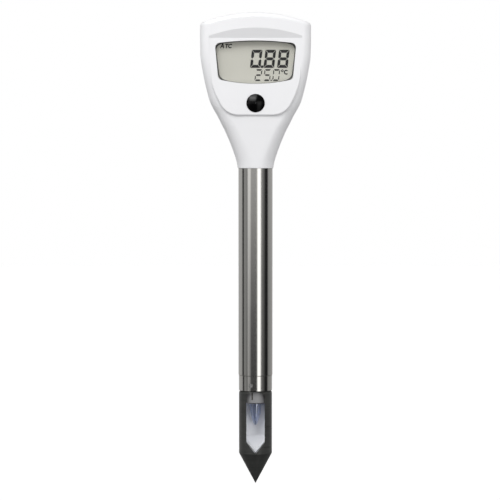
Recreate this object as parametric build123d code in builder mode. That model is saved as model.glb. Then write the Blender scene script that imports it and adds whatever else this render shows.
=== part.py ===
from build123d import *
from math import atan2, cos, hypot, sin, tan, radians
import os

# Water quality probe: a flat meter head on a steel tube with a pointed tip guard.
# Millimetres. +Z runs up the probe's axis, the face looks towards -Y.
# The origin is on the tube's axis, on the shoulder where the tube enters the head.

# ---------------------------------------------------------------- driving dimensions
# Head
head_width = 50.0
head_height = 70.0
front_depth = 11.2  # axis to the crown of the face
rear_depth = 9.7  # axis to the flat back
shell_wall = 2.0
face_bulge = 185.0  # radius of the face, side to side
crown_radius = 67.7  # radius of the head's top, seen from the front
crown_rounding = 2.0
side_rounding = 4.3  # corner of the head's section at its widest
# Height, half width, depth and corner radius of the head's section, from neck (0) to full size (1)
head_stations = (
    (0.000, 0.000, 0.00, 0.00),
    (0.034, 0.022, 0.01, 0.02),
    (0.100, 0.104, 0.04, 0.09),
    (0.160, 0.195, 0.08, 0.17),
    (0.220, 0.298, 0.12, 0.25),
    (0.283, 0.426, 0.18, 0.35),
    (0.348, 0.562, 0.25, 0.46),
    (0.412, 0.710, 0.34, 0.58),
    (0.477, 0.797, 0.47, 0.70),
    (0.605, 0.915, 0.76, 0.90),
    (0.733, 0.992, 0.95, 1.00),
    (0.850, 1.000, 1.00, 1.00),
    (1.020, 1.000, 1.00, 1.00),
)
head_sections = 22  # sections the head is lofted through

# Face panel
panel_depth = 9.7  # axis to the flat panel
panel_margin = 4.35  # head side to panel side
panel_bottom = 23.75
panel_taper = 0.4
panel_foot = 13.2  # half width of the panel's bottom edge
panel_shoulder = 36.8  # height where the panel's sides turn in
shoulder_rounding = 30.0
foot_rounding = 9.0
panel_lip = 0.7
neck_rounding = 0.35
ledge_drop = 11.45  # head top to the foot of the sloping ledge
ledge_rise = 3.0  # height gained by the ledge for each mm of depth

# Display
window_margin = 6.7  # head side to window side
window_top_drop = 12.6
window_bottom = 38.0
window_taper = 1.5
window_crown = 1.3
window_sag = 2.0
window_recess = 0.8
window_rounding = 2.2
lens_flange = 1.0
flange_border = 1.0
glass_thickness = 1.1
glass_border = 0.5
reflector_thickness = 0.2
contact_ledge = 1.9
strip_width = 1.3
frame_wall = 0.8

# Circuit board
board_rear = -0.4  # Y of the board's rear face
board_thickness = 1.6
board_bottom = 20.4
board_gap = 0.6
board_post_x = 16.0
board_post_height = 32.2
board_post_radius = 1.9
board_screw_radius = 0.8
board_screw_length = 6.0
controller_height = 59.5
connector_width = 6.0
connector_height = 4.0
connector_depth = 3.6
# Place, footprint and height of the board's small parts
board_part_list = (
    ((-15.0, 56.0), (2.0, 1.25), 0.9),
    ((-15.0, 53.5), (2.0, 1.25), 0.9),
    ((-11.5, 59.0), (3.2, 2.5), 0.8),
    ((9.0, 61.0), (2.0, 1.25), 0.6),
    ((9.0, 58.5), (2.0, 1.25), 0.6),
    ((14.0, 56.0), (3.0, 3.0), 1.1),
    ((-8.0, 24.5), (2.0, 1.25), 0.6),
    ((8.0, 24.5), (3.9, 4.9), 1.5),
)

# Button
button_height = 29.3
button_radius = 4.1
button_dome = 1.1
button_travel = 0.5
button_guide = 1.5
guide_wall = 1.6
button_flange = 1.0
button_collar = 1.0
button_rim = 0.2
button_seal_section = 0.7
button_stem_radius = 1.8
plunger_radius = 1.7
switch_size = 6.0
switch_depth = 2.0
switch_well = 1.1

# Case screws
screw_radius = 1.0
screw_head_radius = 1.9
screw_head_height = 1.4
screw_seat = 4.4
screw_length = 9.0
boss_wall = 1.6
top_screw_margin = 6.0
top_screw_drop = 8.3
neck_screw_x = 9.6
neck_screw_height = 17.0

# Battery
cell_radius = 10.0
cell_thickness = 3.2
cell_front = 3.2
battery_height = 40.0
cover_thickness = 1.3
holder_wall = 1.4
holder_floor = 0.8
holder_lip = 0.4
contact_thickness = 0.25
contact_width = 4.0
cover_sink = 0.1
thread_wall = 0.8
thread_length = 1.6
cover_seal_section = 0.9
cover_flange = 2.1
coin_slot_width = 1.6
coin_slot_length = 14.0
coin_slot_depth = 1.1

# Tube, ferrule and tip guard
tube_radius = 7.75
neck_step = 0.3  # neck radius less tube radius
tube_wall = 0.5
tube_length = 94.0
spigot_length = 10.5
groove_height = 4.4
groove_width = 1.4
groove_depth = 0.4
grommet_flange = 1.2
grommet_plug = 4.0
ferrule_length = 6.85
ferrule_step = 0.2  # tube radius less ferrule radius
ferrule_spigot = 6.0
ferrule_wall = 1.0
ferrule_spigot_wall = 1.0
seam_chamfer = 0.15
guard_step = 0.25  # tube radius less guard radius
guard_length = 28.75
guard_wall = 1.5
guard_rounding = 1.4
guard_spigot = 4.9
point_length = 14.0
sample_window_width = 8.3
sample_window_foot = 23.2  # guard top to the window's lower corners
sample_window_point = 5.3
liner_wall = 0.8
pin_radius = 0.95
pin_angle = -16.5
pin_drop = 4.4

# Sensor
stem_length = 36.0
stem_edge = 5.3  # guard top to the stem's lower edge
stem_dome = 1.1
bulb_radius = 2.7
bulb_wall = 0.45
bulb_length = 9.6
bulb_tip_radius = 0.8
bulb_stem = 31.0
wire_radius = 0.25
wick_width = 0.6
wick_length = 4.0
wick_depth = 0.5
wick_x = -1.5
thermistor_radius = 0.8
thermistor_offset = 3.9
thermistor_length = 6.0
stem_seal_section = 0.9
cable_radius = 1.5
potting_length = 8.0

# Clearances
running_fit = 0.05
slip_fit = 0.05
loose_gap = 0.15
seal_section = 0.8
seal_inset = 0.7
seal_foot = 5.0
thread_fit = 0.02

# ---------------------------------------------------------------- values that follow
neck_radius = tube_radius + neck_step
spigot_radius = tube_radius - tube_wall
tube_bore = tube_radius - tube_wall
face_inside = panel_depth - shell_wall
seam_z = -tube_length
ferrule_end = seam_z - ferrule_length
guard_top = ferrule_end - loose_gap / 1.5
guard_radius = tube_radius - guard_step
cone_z = ferrule_end - guard_length
tip_z = cone_z - point_length
guard_bore = guard_radius - guard_wall
cavity_floor = spigot_length + grommet_flange + 1.3
ledge_z = head_height - ledge_drop
window_top = head_height - window_top_drop
window_half = head_width / 2 - window_margin
panel_half = head_width / 2 - panel_margin
lens_back = -(face_inside - lens_flange)
glass_front = lens_back + 0.2
frame_front = lens_back + 0.1
board_front = board_rear - board_thickness
glass_half = window_half + glass_border
glass_low = window_bottom - glass_border
glass_high = window_top + glass_border
frame_half = glass_half + frame_wall
frame_height = glass_high - glass_low + 2 * frame_wall
battery_mouth = rear_depth - cover_sink - cover_thickness
thread_radius = cell_radius + 0.4 + thread_wall
seal_seat = battery_mouth - cover_seal_section - 0.1
pad_front = seal_seat - thread_length
cover_radius = thread_radius + cover_seal_section + cover_flange
case_screws_at = (
    (head_width / 2 - top_screw_margin, head_height - top_screw_drop),
    (-(head_width / 2 - top_screw_margin), head_height - top_screw_drop),
    (neck_screw_x, neck_screw_height),
    (-neck_screw_x, neck_screw_height),
)
board_screws_at = ((board_post_x, board_post_height), (-board_post_x, board_post_height))
ferrule_radius = tube_radius - ferrule_step
ferrule_bore = tube_radius - ferrule_wall
stem_bore = tube_bore - slip_fit - ferrule_spigot_wall
spigot_top = guard_top + guard_spigot
guard_spigot_radius = ferrule_bore - slip_fit
cavity_tip = guard_top - sample_window_foot - sample_window_point - 0.8
pin_direction = (sin(radians(pin_angle)), -cos(radians(pin_angle)), 0)
pin_plane = Plane(origin=(0, 0, seam_z - pin_drop), x_dir=(0, 0, 1), z_dir=pin_direction)
stem_radius = guard_bore - 2 * slip_fit
stem_low = guard_top - stem_edge
stem_top = stem_low + stem_length
stem_seal_groove = stem_bore - running_fit / 2 - stem_seal_section
stem_seals_at = (seam_z + 0.25 * ferrule_spigot, seam_z + 0.7 * ferrule_spigot)
wick_middle = stem_low + 1.2 + wick_length / 2
bulb_shoulder = stem_low - stem_dome
bulb_top = bulb_shoulder + bulb_stem
bulb_tip = bulb_shoulder - bulb_length
gel_shape = (bulb_radius - bulb_wall, bulb_shoulder, bulb_tip + bulb_wall, bulb_tip_radius - bulb_wall)
gel_top = bulb_top - 3
wire_low = bulb_tip + 4
thermistor_low = stem_low + 1.5
connector_low = board_bottom + 0.8


def facing(depth):
    """A sketch plane at this Y, seen from the front; extrude() runs from it towards the face."""
    return Plane.XZ.offset(-depth)


def finish(piece, label):
    """Name a finished piece and write it."""
    piece.label = label
    export_step(piece, f"parts/{label}.step")


def head_slope(index, column):
    """Slope at one station of the curve through the head stations; it never overshoots a station."""
    secants = []
    for first in (index - 1, index):
        if 0 <= first < len(head_stations) - 1:
            low = head_stations[first]
            high = head_stations[first + 1]
            secants.append((high[column] - low[column]) / (high[0] - low[0]))
    if min(secants) <= 0:
        return 0
    return len(secants) / sum(1 / secant for secant in secants)


def head_share(rise, column):
    """A head station's value at any share of the head's height, on a smooth curve between stations."""
    index = 0
    while index < len(head_stations) - 2 and rise > head_stations[index + 1][0]:
        index += 1
    low = head_stations[index]
    high = head_stations[index + 1]
    span = high[0] - low[0]
    along = (rise - low[0]) / span
    ease = along**2 * (3 - 2 * along)
    leave = along * (1 - along) ** 2 * span * head_slope(index, column)
    arrive = along**2 * (along - 1) * span * head_slope(index + 1, column)
    return low[column] * (1 - ease) + high[column] * ease + leave + arrive


def head_form(inset):
    """The head's rounded outer form, drawn in by inset on every side."""
    full_half = head_width / 2
    with BuildPart() as form:
        for step in range(head_sections + 1):
            rise = head_stations[-1][0] * step / head_sections
            deepen = head_share(rise, 2)
            half = neck_radius + (full_half - neck_radius) * head_share(rise, 1)
            front = neck_radius + (front_depth - neck_radius) * deepen
            rear = neck_radius + (rear_depth + 0.5 - neck_radius) * deepen
            side = front - half**2 / (2 * face_bulge)
            corner = 0.94 * neck_radius + (side_rounding - 0.94 * neck_radius) * head_share(rise, 3)
            with BuildSketch(Plane.XY.offset(rise * head_height)):
                with BuildLine():
                    Line((half - inset, -side + inset), (half - inset, rear - inset))
                    Line((half - inset, rear - inset), (-half + inset, rear - inset))
                    Line((-half + inset, rear - inset), (-half + inset, -side + inset))
                    ThreePointArc(
                        (-half + inset, -side + inset), (0, -front + inset), (half - inset, -side + inset)
                    )
                make_face()
                fillet(vertices(), max(corner - inset, 0.5))
        loft()
        # The crown, an arc seen from the front
        with BuildSketch(Plane.XZ):
            with Locations((0, head_height - crown_radius)):
                Circle(crown_radius - inset)
            with Locations((0, head_height / 2)):
                Rectangle(head_width + 2, head_height + 2, mode=Mode.INTERSECT)
            Rectangle(head_width + 2, head_height / 2, align=(Align.CENTER, Align.MIN))
        extrude(amount=front_depth + 2, both=True, mode=Mode.INTERSECT)
        if crown_rounding > inset:
            top = faces().filter_by(GeomType.CYLINDER).sort_by(Axis.Z)[-1]
            fillet(top.edges(), crown_rounding - inset)
    return form.part


def keep_between(front, rear, low):
    """Cut the head piece in the making back to this stretch of depth, above low."""
    split(bisect_by=facing(front), keep=Keep.BOTTOM)
    split(bisect_by=facing(rear), keep=Keep.TOP)
    split(bisect_by=Plane.XY.offset(low), keep=Keep.TOP)


def panel_outline(reach):
    """The face panel seen from the front, its sides run on up to reach; a wire for make_face()."""
    upper = panel_half + panel_taper * (reach - panel_shoulder) / (ledge_z - panel_shoulder)
    side = panel_half - panel_taper
    return FilletPolyline(
        (upper, reach),
        (side, panel_shoulder),
        (panel_foot, panel_bottom),
        (-panel_foot, panel_bottom),
        (-side, panel_shoulder),
        (-upper, reach),
        radius=[shoulder_rounding, foot_rounding, foot_rounding, shoulder_rounding],
    )


def window_sketch(grow):
    """The display window seen from the front: a tapered shape with bowed top and bottom."""
    top_half = window_half + grow
    foot_half = window_half - window_taper + grow
    top_corner = window_top - window_crown + grow
    foot_corner = window_bottom + window_sag - grow
    with BuildSketch(Plane.XY, mode=Mode.PRIVATE) as window:
        with BuildLine():
            Line((top_half, top_corner), (foot_half, foot_corner))
            ThreePointArc((foot_half, foot_corner), (0, window_bottom - grow), (-foot_half, foot_corner))
            Line((-foot_half, foot_corner), (-top_half, top_corner))
            ThreePointArc((-top_half, top_corner), (0, window_top + grow), (top_half, top_corner))
        make_face()
        fillet(vertices(), window_rounding + grow)
    return window.sketch


def bullet_outline(radius, shoulder, tip, tip_radius, top):
    """Half the outline of a round stem with a bullet-shaped end."""
    drop = shoulder - tip - tip_radius
    narrowing = radius - tip_radius
    centre = (drop**2 / narrowing - narrowing) / 2
    side_radius = centre + radius
    turn = atan2(drop, centre)
    side_middle = (side_radius * cos(turn / 2) - centre, shoulder - side_radius * sin(turn / 2))
    touch = (side_radius * cos(turn) - centre, shoulder - side_radius * sin(turn))
    tip_turn = (turn + radians(90)) / 2
    tip_middle = (tip_radius * cos(tip_turn), tip + tip_radius - tip_radius * sin(tip_turn))
    Line((0, top), (radius, top))
    Line((radius, top), (radius, shoulder))
    ThreePointArc((radius, shoulder), side_middle, touch)
    ThreePointArc(touch, tip_middle, (0, tip))
    Line((0, tip), (0, top))


def lead_row(side):
    """Places of the leads along one side of the microcontroller."""
    along = [0.8 * step for step in range(-3, 4)]
    if side == 0:
        return [(3.8, controller_height + at) for at in along]
    if side == 1:
        return [(at, controller_height + 3.8) for at in along]
    if side == 2:
        return [(-3.8, controller_height + at) for at in along]
    return [(at, controller_height - 3.8) for at in along]


def sample_window_sketch(grow):
    """The tip guard's window seen from the front: arched top, pointed foot."""
    half = sample_window_width / 2 + grow
    arch_foot = guard_top - 1.7
    vertex = guard_top - sample_window_foot
    with BuildSketch(Plane.XY, mode=Mode.PRIVATE) as window:
        with BuildLine():
            ThreePointArc((-half, arch_foot), (0, guard_top - 0.3), (half, arch_foot))
            Line((half, arch_foot), (half, vertex))
            Line((half, vertex), (0, vertex - sample_window_point))
            Line((0, vertex - sample_window_point), (-half, vertex))
            Line((-half, vertex), (-half, arch_foot))
        make_face()
    return window.sketch


os.makedirs("parts", exist_ok=True)

# ---------------------------------------------------------------- head shells
with BuildPart() as outer:
    add(head_form(0))
    fillet(faces().sort_by(Axis.Z)[0].edges(), neck_rounding)
outer_form = outer.part
inner_form = head_form(shell_wall)
board_form = head_form(shell_wall + board_gap)
seal_outer_form = head_form(seal_inset)
seal_inner_form = head_form(seal_inset + seal_section)

# The case seal, a cord laid round the head between the shells
with BuildPart() as case_seal:
    add(seal_outer_form)
    keep_between(0, seal_section, seal_foot)
    add(seal_inner_form, mode=Mode.SUBTRACT)
finish(case_seal.part, "case_seal")

# The tube's swaged end and its groove, as the space they take in the head
with BuildPart() as tube_space:
    with BuildSketch(Plane.XZ):
        rib_low = groove_height + loose_gap
        rib_high = groove_height + groove_width - loose_gap
        rib_radius = spigot_radius - groove_depth + slip_fit
        ceiling = spigot_length + grommet_flange + slip_fit
        bore = spigot_radius + slip_fit
        with BuildLine():
            Polyline(
                (0, -1),
                (bore, -1),
                (bore, rib_low),
                (rib_radius, rib_low),
                (rib_radius, rib_high),
                (bore, rib_high),
                (bore, ceiling),
                (cable_radius + 1, ceiling),
                (cable_radius + 1, cavity_floor + 1),
                (0, cavity_floor + 1),
                close=True,
            )
        make_face()
    revolve(axis=Axis.Z)

# Space inside the front shell, with the bosses left standing
with BuildPart() as front_space:
    add(inner_form)
    keep_between(-face_inside, 0, cavity_floor)
    with BuildSketch(facing(0)):
        with Locations(*case_screws_at):
            Circle(screw_radius + boss_wall)
    extrude(amount=face_inside, mode=Mode.SUBTRACT)
    with BuildSketch(facing(board_front)):
        with Locations(*board_screws_at):
            Circle(board_post_radius)
    extrude(amount=face_inside + board_front, mode=Mode.SUBTRACT)
    with BuildSketch(facing(-(face_inside - button_guide))):
        with Locations((0, button_height)):
            Circle(button_radius + guide_wall)
    extrude(amount=button_guide, mode=Mode.SUBTRACT)
    # Pockets for the lens flange and the display frame
    with BuildSketch(facing(lens_back)):
        add(window_sketch(flange_border + loose_gap))
    extrude(amount=lens_flange)
    with BuildSketch(facing(0)):
        with Locations((0, (glass_high + glass_low) / 2)):
            Rectangle(2 * (frame_half + loose_gap), frame_height + 2 * loose_gap)
    extrude(amount=loose_gap - frame_front)

# The recess over the face panel: flat, with a slope at its upper end
with BuildPart() as face_recess:
    with BuildSketch(Plane.XZ.offset(panel_depth)):
        with BuildLine():
            sides = panel_outline(head_height - crown_rounding)
            Line(sides @ 1, sides @ 0)
        make_face()
    extrude(amount=front_depth - panel_depth + 1)
    with BuildSketch(Plane.YZ):
        with BuildLine():
            reach = front_depth + 2
            Polyline(
                (-panel_depth, 0),
                (-panel_depth, ledge_z),
                (-reach, ledge_z + ledge_rise * (reach - panel_depth)),
                (-reach, 0),
                close=True,
            )
        make_face()
    extrude(amount=head_width / 2, both=True, mode=Mode.INTERSECT)

# The face panel stands proud of the shell lower down
with BuildPart() as face_panel:
    with BuildSketch(facing(-face_inside)):
        with BuildLine():
            sides = panel_outline(ledge_z)
            Line(sides @ 1, sides @ 0)
        make_face()
    extrude(amount=panel_depth - face_inside)
    fillet(faces().sort_by(Axis.Y)[0].edges(), panel_lip)

with BuildPart() as front_shell:
    add(outer_form)
    keep_between(-2 * front_depth, 0, -1)
    add(face_recess.part, mode=Mode.SUBTRACT)
    add(face_panel.part)
    add(front_space.part, mode=Mode.SUBTRACT)
    add(tube_space.part, mode=Mode.SUBTRACT)
    with BuildSketch(facing(-face_inside + 1)):
        add(window_sketch(0))
    extrude(amount=front_depth, mode=Mode.SUBTRACT)
    with BuildSketch(facing(board_front)):
        with Locations((0, button_height)):
            Circle(button_radius + running_fit)
    extrude(amount=front_depth, mode=Mode.SUBTRACT)
    with BuildSketch(facing(0)):
        with Locations(*case_screws_at):
            Circle(screw_radius + thread_fit)
    extrude(amount=screw_length - screw_seat + 0.5, mode=Mode.SUBTRACT)
    with BuildSketch(facing(0)):
        with Locations(*board_screws_at):
            Circle(board_screw_radius + thread_fit)
    extrude(amount=board_screw_length + 0.5, mode=Mode.SUBTRACT)
finish(front_shell.part, "front_shell")

# Space inside the rear shell, with the screw bosses and the battery pad left standing
with BuildPart() as rear_space:
    add(inner_form)
    keep_between(0, rear_depth - shell_wall, cavity_floor)
    with BuildSketch(facing(rear_depth)):
        with Locations(*case_screws_at):
            Circle(screw_head_radius + boss_wall / 2)
    extrude(amount=rear_depth, mode=Mode.SUBTRACT)
    with BuildSketch(facing(rear_depth)):
        with Locations((0, battery_height)):
            Circle(cover_radius + 1)
    extrude(amount=rear_depth - pad_front, mode=Mode.SUBTRACT)

with BuildPart() as rear_shell:
    add(outer_form)
    keep_between(0, rear_depth, -1)
    add(rear_space.part, mode=Mode.SUBTRACT)
    add(tube_space.part, mode=Mode.SUBTRACT)
    add(case_seal.part, mode=Mode.SUBTRACT)
    for depth, length, radius in (
        (rear_depth, rear_depth - battery_mouth, cover_radius + 2 * running_fit),
        (battery_mouth, battery_mouth - seal_seat, thread_radius + cover_seal_section + loose_gap),
        (seal_seat, rear_depth, thread_radius + running_fit),
    ):
        with BuildSketch(facing(depth)):
            with Locations((0, battery_height)):
                Circle(radius)
        extrude(amount=length, mode=Mode.SUBTRACT)
    with BuildSketch(facing(rear_depth)):
        with Locations(*case_screws_at):
            Circle(screw_head_radius + loose_gap)
    extrude(amount=rear_depth - screw_seat, mode=Mode.SUBTRACT)
    with BuildSketch(facing(screw_seat)):
        with Locations(*case_screws_at):
            Circle(screw_radius + loose_gap)
    extrude(amount=screw_seat, mode=Mode.SUBTRACT)
finish(rear_shell.part, "rear_shell")

# ---------------------------------------------------------------- fasteners of the head
with BuildPart() as case_screws:
    with BuildSketch(facing(screw_seat + screw_head_height)):
        with Locations(*case_screws_at):
            Circle(screw_head_radius)
    extrude(amount=screw_head_height)
    with BuildSketch(facing(screw_seat)):
        with Locations(*case_screws_at):
            Circle(screw_radius)
    extrude(amount=screw_length)
    with BuildSketch(facing(screw_seat + screw_head_height)):
        with Locations(*case_screws_at):
            RegularPolygon(screw_radius, 6)
    extrude(amount=screw_head_height / 2, mode=Mode.SUBTRACT)
finish(case_screws.part, "case_screws")

with BuildPart() as board_screws:
    with BuildSketch(facing(board_rear + 1)):
        with Locations(*board_screws_at):
            Circle(2 * board_screw_radius)
    extrude(amount=1)
    with BuildSketch(facing(board_rear)):
        with Locations(*board_screws_at):
            Circle(board_screw_radius)
    extrude(amount=board_screw_length)
    with BuildSketch(facing(board_rear + 1)):
        with Locations(*board_screws_at):
            Rectangle(2.4 * board_screw_radius, 0.5 * board_screw_radius)
            Rectangle(0.5 * board_screw_radius, 2.4 * board_screw_radius)
    extrude(amount=0.5, mode=Mode.SUBTRACT)
finish(board_screws.part, "board_screws")

# ---------------------------------------------------------------- display
with BuildPart() as display_lens:
    with BuildSketch(facing(-face_inside)):
        add(window_sketch(-slip_fit))
    extrude(amount=face_inside - panel_depth + window_recess, dir=(0, 1, 0))
    with BuildSketch(facing(lens_back)):
        add(window_sketch(flange_border))
    extrude(amount=lens_flange)
finish(display_lens.part, "display_lens")

with BuildPart() as display_frame:
    with BuildSketch(facing(board_front)):
        with Locations((0, (glass_high + glass_low) / 2)):
            Rectangle(2 * frame_half, frame_height)
            glass_height = glass_high - glass_low
            Rectangle(2 * (glass_half + slip_fit), glass_height + 2 * slip_fit, mode=Mode.SUBTRACT)
    extrude(amount=board_front - frame_front)
finish(display_frame.part, "display_frame")

with BuildPart() as front_glass:
    with BuildSketch(facing(glass_front + glass_thickness)):
        with Locations((0, (glass_high + glass_low) / 2)):
            Rectangle(2 * glass_half, glass_high - glass_low)
    extrude(amount=glass_thickness)
finish(front_glass.part, "lcd_front_glass")

rear_glass_back = glass_front + 2 * glass_thickness
reflector_back = rear_glass_back + reflector_thickness
for label, back, thickness in (
    ("lcd_rear_glass", rear_glass_back, glass_thickness),
    ("lcd_reflector", reflector_back, reflector_thickness),
    ("display_pad", board_front, board_front - reflector_back),
):
    with BuildPart() as layer:
        with BuildSketch(facing(back)):
            with Locations((0, (glass_high + glass_low) / 2)):
                Rectangle(2 * glass_half, glass_high - glass_low - 2 * contact_ledge)
        extrude(amount=thickness)
    finish(layer.part, label)

with BuildPart() as contact_strips:
    with BuildSketch(facing(board_front)):
        with Locations((0, glass_low + contact_ledge / 2), (0, glass_high - contact_ledge / 2)):
            Rectangle(2 * glass_half - 2, strip_width)
    extrude(amount=board_front - glass_front - glass_thickness)
finish(contact_strips.part, "contact_strips")

# ---------------------------------------------------------------- circuit board and what it carries
with BuildPart() as circuit_board:
    add(board_form)
    keep_between(board_front, board_rear, board_bottom)
    with BuildSketch(facing(board_rear)):
        with Locations(*case_screws_at):
            Circle(screw_head_radius + boss_wall / 2 + 2 * loose_gap)
        with Locations(*board_screws_at):
            Circle(board_screw_radius + slip_fit)
    extrude(amount=board_thickness, mode=Mode.SUBTRACT)
finish(circuit_board.part, "circuit_board")

with BuildPart() as microcontroller:
    with BuildSketch(facing(board_rear + 1.4)):
        with Locations((0, controller_height)):
            Rectangle(7, 7)
    extrude(amount=1.2)
    chamfer(faces().sort_by(Axis.Y)[-1].edges(), 0.2)
    with BuildSketch(facing(board_rear + 0.35)):
        for side in range(4):
            with Locations(*lead_row(side)):
                Rectangle(*((0.3, 1.1) if side % 2 else (1.1, 0.3)))
    extrude(amount=0.35)
finish(microcontroller.part, "microcontroller")

with BuildPart() as board_parts:
    for place, size, height in board_part_list:
        with BuildSketch(facing(board_rear + height)):
            with Locations(place):
                Rectangle(*size)
        extrude(amount=height)
finish(board_parts.part, "board_parts")

# ---------------------------------------------------------------- button and its switch
guide_end = -(face_inside - button_guide)
switch_front = board_front - switch_depth
button_axis = Axis((0, 0, button_height), (0, 1, 0))
button_plane = Plane(origin=(0, 0, button_height), x_dir=(0, 1, 0), z_dir=(1, 0, 0))
button_rest = guide_end + thread_fit
button_stem_end = switch_front - button_travel - loose_gap
seal_groove = button_radius + running_fit / 2 - button_seal_section
seal_middle = -(face_inside - 0.3)
with BuildPart() as power_button:
    with BuildSketch(button_plane):
        with BuildLine():
            rim = -panel_depth - button_rim
            Line((button_stem_end, 0), (button_stem_end, button_stem_radius))
            Line((button_stem_end, button_stem_radius), (button_rest + button_flange, button_stem_radius))
            Line(
                (button_rest + button_flange, button_stem_radius),
                (button_rest + button_flange, button_radius + button_collar),
            )
            Line(
                (button_rest + button_flange, button_radius + button_collar),
                (button_rest, button_radius + button_collar),
            )
            Line((button_rest, button_radius + button_collar), (button_rest, button_radius))
            Line((button_rest, button_radius), (rim, button_radius))
            TangentArc((rim - button_dome, 0), (rim, button_radius), tangent=(0, 1))
            Line((rim - button_dome, 0), (button_stem_end, 0))
        make_face()
        with Locations((seal_middle, button_radius)):
            groove_reach = 2 * (button_radius - seal_groove + thread_fit)
            Rectangle(1.2 * button_seal_section, groove_reach, mode=Mode.SUBTRACT)
    revolve(axis=button_axis)
finish(power_button.part, "power_button")

with BuildPart() as button_seal:
    with BuildSketch(button_plane):
        with Locations((seal_middle, seal_groove + button_seal_section / 2)):
            Circle(button_seal_section / 2)
    revolve(axis=button_axis)
finish(button_seal.part, "button_seal")

with BuildPart() as switch_plunger:
    with BuildSketch(facing(switch_front + switch_well - button_travel - slip_fit)):
        with Locations((0, button_height)):
            Circle(plunger_radius)
    extrude(amount=switch_front + switch_well - button_travel - slip_fit - button_stem_end)
finish(switch_plunger.part, "switch_plunger")

with BuildPart() as switch_body:
    with BuildSketch(facing(board_front)):
        with Locations((0, button_height)):
            Rectangle(switch_size, switch_size)
    extrude(amount=switch_depth)
    with BuildSketch(facing(switch_front + switch_well)):
        with Locations((0, button_height)):
            Circle(plunger_radius + running_fit)
    extrude(amount=switch_well, mode=Mode.SUBTRACT)
    fillet(edges().filter_by(Axis.Y), 0.3)
finish(switch_body.part, "switch_body")

# ---------------------------------------------------------------- battery
cell_back = cell_front + cell_thickness
with BuildPart() as coin_cell:
    with BuildSketch(facing(cell_back)):
        with Locations((0, battery_height)):
            Circle(cell_radius)
    extrude(amount=cell_thickness - 0.4)
    fillet(edges(), 0.3)
    with BuildSketch(facing(cell_front + 0.4)):
        with Locations((0, battery_height)):
            Circle(cell_radius - 1.1)
    extrude(amount=0.4)
finish(coin_cell.part, "coin_cell")

holder_radius = cell_radius + loose_gap + holder_wall
holder_back = pad_front - holder_lip
with BuildPart() as battery_holder:
    with BuildSketch(facing(holder_back)):
        with Locations((0, battery_height)):
            Circle(holder_radius)
    extrude(amount=holder_back - board_rear)
    with BuildSketch(facing(holder_back)):
        with Locations((0, battery_height)):
            Circle(cell_radius + loose_gap)
    extrude(amount=holder_back - board_rear - holder_floor, mode=Mode.SUBTRACT)
    with BuildSketch(facing(holder_back)):
        with Locations((0, battery_height + cell_radius)):
            Rectangle(contact_width + 2 * loose_gap, 4 * holder_wall)
    extrude(amount=holder_back - board_rear, mode=Mode.SUBTRACT)
finish(battery_holder.part, "battery_holder")

with BuildPart() as positive_contact:
    with BuildSketch(Plane.YZ):
        with BuildLine():
            blade = battery_height + cell_radius + thread_fit
            Polyline(
                (board_rear, blade),
                (holder_back, blade),
                (holder_back, blade + contact_thickness),
                (board_rear + contact_thickness, blade + contact_thickness),
                (board_rear + contact_thickness, blade + 2.5),
                (board_rear, blade + 2.5),
                close=True,
            )
        make_face()
    extrude(amount=contact_width / 2, both=True)
finish(positive_contact.part, "positive_contact")

leaf_base = board_rear + holder_floor
leaf_foot = 0.7 * cell_radius
with BuildPart() as negative_contact:
    with BuildSketch(Plane.XY.offset(battery_height)):
        with BuildLine():
            inner = ThreePointArc(
                (-leaf_foot, leaf_base), (0, cell_front - contact_thickness), (leaf_foot, leaf_base)
            )
            outer = ThreePointArc(
                (-leaf_foot - contact_thickness, leaf_base),
                (0, cell_front),
                (leaf_foot + contact_thickness, leaf_base),
            )
            Line(inner @ 0, outer @ 0)
            Line(inner @ 1, outer @ 1)
        make_face()
    extrude(amount=contact_width / 2, both=True)
finish(negative_contact.part, "negative_contact")

cover_back = rear_depth - cover_sink
with BuildPart() as battery_cover:
    with BuildSketch(facing(cover_back)):
        with Locations((0, battery_height)):
            Circle(cover_radius)
    extrude(amount=cover_thickness)
    chamfer(faces().sort_by(Axis.Y)[-1].edges(), 0.3)
    with BuildSketch(facing(battery_mouth)):
        with Locations((0, battery_height)):
            Circle(thread_radius)
    extrude(amount=battery_mouth - pad_front - 0.1)
    with BuildSketch(facing(cell_back + 2 * loose_gap)):
        with Locations((0, battery_height)):
            Circle(cell_radius + 2 * loose_gap)
    extrude(amount=cell_thickness, mode=Mode.SUBTRACT)
    with BuildSketch(facing(cover_back)):
        with Locations((0, battery_height)):
            SlotOverall(coin_slot_length, coin_slot_width)
    extrude(amount=coin_slot_depth, mode=Mode.SUBTRACT)
finish(battery_cover.part, "battery_cover")

cover_axis = Axis((0, 0, battery_height), (0, 1, 0))
cover_plane = Plane(origin=(0, 0, battery_height), x_dir=(0, 1, 0), z_dir=(1, 0, 0))
with BuildPart() as cover_seal:
    with BuildSketch(cover_plane):
        seal_radius = thread_radius + slip_fit + cover_seal_section / 2
        with Locations((battery_mouth - slip_fit - cover_seal_section / 2, seal_radius)):
            Circle(cover_seal_section / 2)
    revolve(axis=cover_axis)
finish(cover_seal.part, "cover_seal")

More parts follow.
